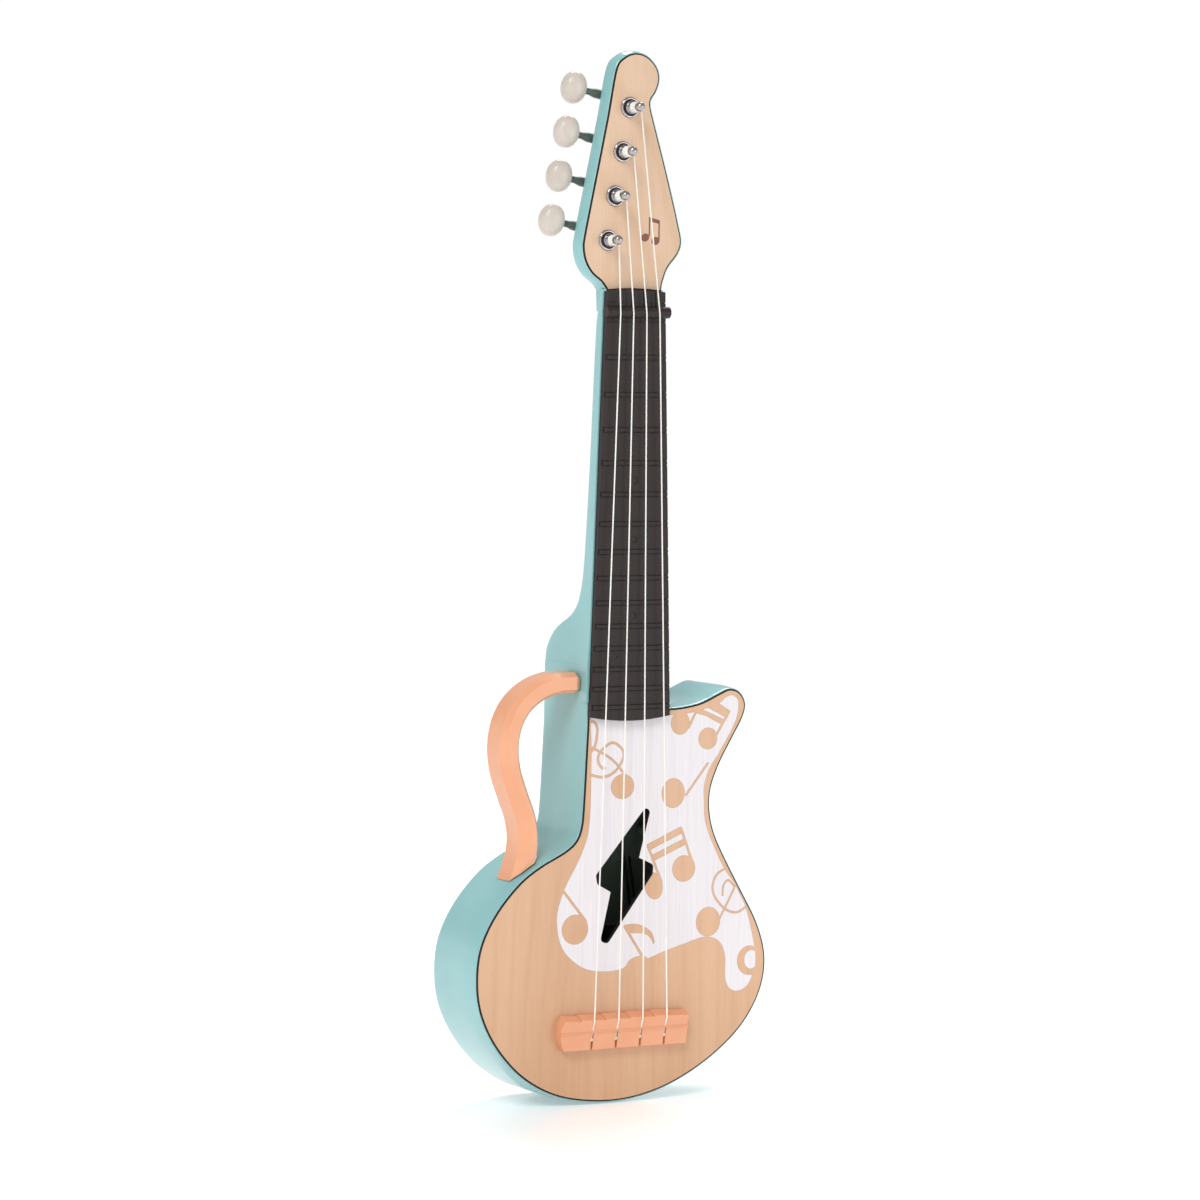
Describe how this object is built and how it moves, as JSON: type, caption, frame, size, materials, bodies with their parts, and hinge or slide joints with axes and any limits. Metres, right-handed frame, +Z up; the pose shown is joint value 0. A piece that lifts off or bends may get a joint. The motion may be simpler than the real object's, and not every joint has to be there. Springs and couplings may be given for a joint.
{
  "type": "toy guitar",
  "caption": "Small guitar-shaped toy with taut strings over a fretted neck, geared tuning pegs, a side carrying handle, a bolt-shaped sound hole and a battery bay in the back.",
  "frame": {"origin": "on the centre line of the strings, under the middle of the part's depth, at the height of the body's lowest point", "axes": "+Z up the neck to the headstock, front with the strings facing -Y, +X to the treble side with the horn; carrying handle and knobs on the -X side"},
  "size_m": [0.213, 0.0759, 0.6637],
  "materials": {
    "teal_plastic": "gloss",
    "plywood": "clear satin",
    "dark_plastic": "satin",
    "peach_plastic": "gloss",
    "nylon": "satin",
    "plated_steel": "satin",
    "chrome": "polished",
    "grey_shaft": "satin",
    "cream_plastic": "pearl gloss",
    "spring_steel": "bright",
    "cell_sleeve": "gloss",
    "black_plastic": "matt",
    "circuit_board": "satin",
    "wire_sleeve": "satin"
  },
  "bodies": {
    "guitar_body": {"back_shell": "teal_plastic", "soundboard": "plywood", "headstock_veneer": "plywood", "fretboard": "dark_plastic", "nut": "dark_plastic", "bridge": "peach_plastic", "string_1": "nylon", "string_2": "nylon", "string_3": "nylon", "string_4": "nylon", "carry_handle": "peach_plastic", "handle_screws": "plated_steel", "post_bushings": "chrome", "tuner_plate_1": "plated_steel", "tuner_plate_2": "plated_steel", "tuner_plate_3": "plated_steel", "tuner_plate_4": "plated_steel", "tuner_screws": "plated_steel", "battery_tray": "black_plastic", "battery_cells": "cell_sleeve", "battery_contacts": "spring_steel", "main_board": "circuit_board", "board_screws": "plated_steel", "led_board": "circuit_board", "speaker": "black_plastic", "wiring": "wire_sleeve"},
    "peg_1": {"worm_shaft_1": "grey_shaft", "knob_1": "cream_plastic"},
    "post_1": {"post_gear_1": "chrome", "string_wrap_1": "nylon", "gear_screw_1": "plated_steel"},
    "peg_2": {"worm_shaft_2": "grey_shaft", "knob_2": "cream_plastic"},
    "post_2": {"post_gear_2": "chrome", "string_wrap_2": "nylon", "gear_screw_2": "plated_steel"},
    "peg_3": {"worm_shaft_3": "grey_shaft", "knob_3": "cream_plastic"},
    "post_3": {"post_gear_3": "chrome", "string_wrap_3": "nylon", "gear_screw_3": "plated_steel"},
    "peg_4": {"worm_shaft_4": "grey_shaft", "knob_4": "cream_plastic"},
    "post_4": {"post_gear_4": "chrome", "string_wrap_4": "nylon", "gear_screw_4": "plated_steel"},
    "battery_door": {"battery_door": "teal_plastic"},
    "door_screw": {"door_screw": "plated_steel"},
    "power_switch": {"power_switch": "black_plastic"},
    "mode_button": {"mode_button": "peach_plastic"},
    "volume_button": {"volume_button": "peach_plastic"}
  },
  "joints": [
    {"name": "peg_1_turn", "type": "hinge", "parent": "guitar_body", "child": "peg_1", "pos_m": [-0.00296, -0.0045, 0.63309], "axis": [-0.9816, 0, 0.1908], "continuous": true},
    {"name": "post_1_turn", "type": "hinge", "parent": "guitar_body", "child": "post_1", "pos_m": [-0.0041, -0.0095, 0.6272], "axis": [0, 1, 0], "continuous": true},
    {"name": "peg_2_turn", "type": "hinge", "parent": "guitar_body", "child": "peg_2", "pos_m": [-0.00783, -0.0045, 0.60542], "axis": [-0.9816, 0, 0.1908], "continuous": true},
    {"name": "post_2_turn", "type": "hinge", "parent": "guitar_body", "child": "post_2", "pos_m": [-0.00897, -0.0095, 0.59953], "axis": [0, 1, 0], "continuous": true},
    {"name": "peg_3_turn", "type": "hinge", "parent": "guitar_body", "child": "peg_3", "pos_m": [-0.01269, -0.0045, 0.57775], "axis": [-0.9816, 0, 0.1908], "continuous": true},
    {"name": "post_3_turn", "type": "hinge", "parent": "guitar_body", "child": "post_3", "pos_m": [-0.01384, -0.0095, 0.57186], "axis": [0, 1, 0], "continuous": true},
    {"name": "peg_4_turn", "type": "hinge", "parent": "guitar_body", "child": "peg_4", "pos_m": [-0.01757, -0.0045, 0.55008], "axis": [-0.9816, 0, 0.1908], "continuous": true},
    {"name": "post_4_turn", "type": "hinge", "parent": "guitar_body", "child": "post_4", "pos_m": [-0.01871, -0.0095, 0.54419], "axis": [0, 1, 0], "continuous": true},
    {"name": "battery_door_swing", "type": "hinge", "parent": "guitar_body", "child": "battery_door", "pos_m": [0.0075, 0.0367, 0.084], "axis": [0, 0, 1], "range_deg": [0, 95]},
    {"name": "door_screw_turn", "type": "hinge", "parent": "battery_door", "child": "door_screw", "pos_m": [0.061, 0.0367, 0.084], "axis": [0, 1, 0], "continuous": true},
    {"name": "power_switch_slide", "type": "slide", "parent": "guitar_body", "child": "power_switch", "axis": [1, 0, 0], "range_m": [0, 0.0075]},
    {"name": "mode_button_press", "type": "slide", "parent": "guitar_body", "child": "mode_button", "axis": [0, -1, 0], "range_m": [0, 0.0012], "stiffness_N_per_m": 400},
    {"name": "volume_button_press", "type": "slide", "parent": "guitar_body", "child": "volume_button", "axis": [0, -1, 0], "range_m": [0, 0.0012], "stiffness_N_per_m": 400}
  ],
  "couplings": [
    {"joint": "post_1_turn", "follows": "peg_1_turn", "ratio": 0.071429},
    {"joint": "post_2_turn", "follows": "peg_2_turn", "ratio": 0.071429},
    {"joint": "post_3_turn", "follows": "peg_3_turn", "ratio": 0.071429},
    {"joint": "post_4_turn", "follows": "peg_4_turn", "ratio": 0.071429}
  ]
}
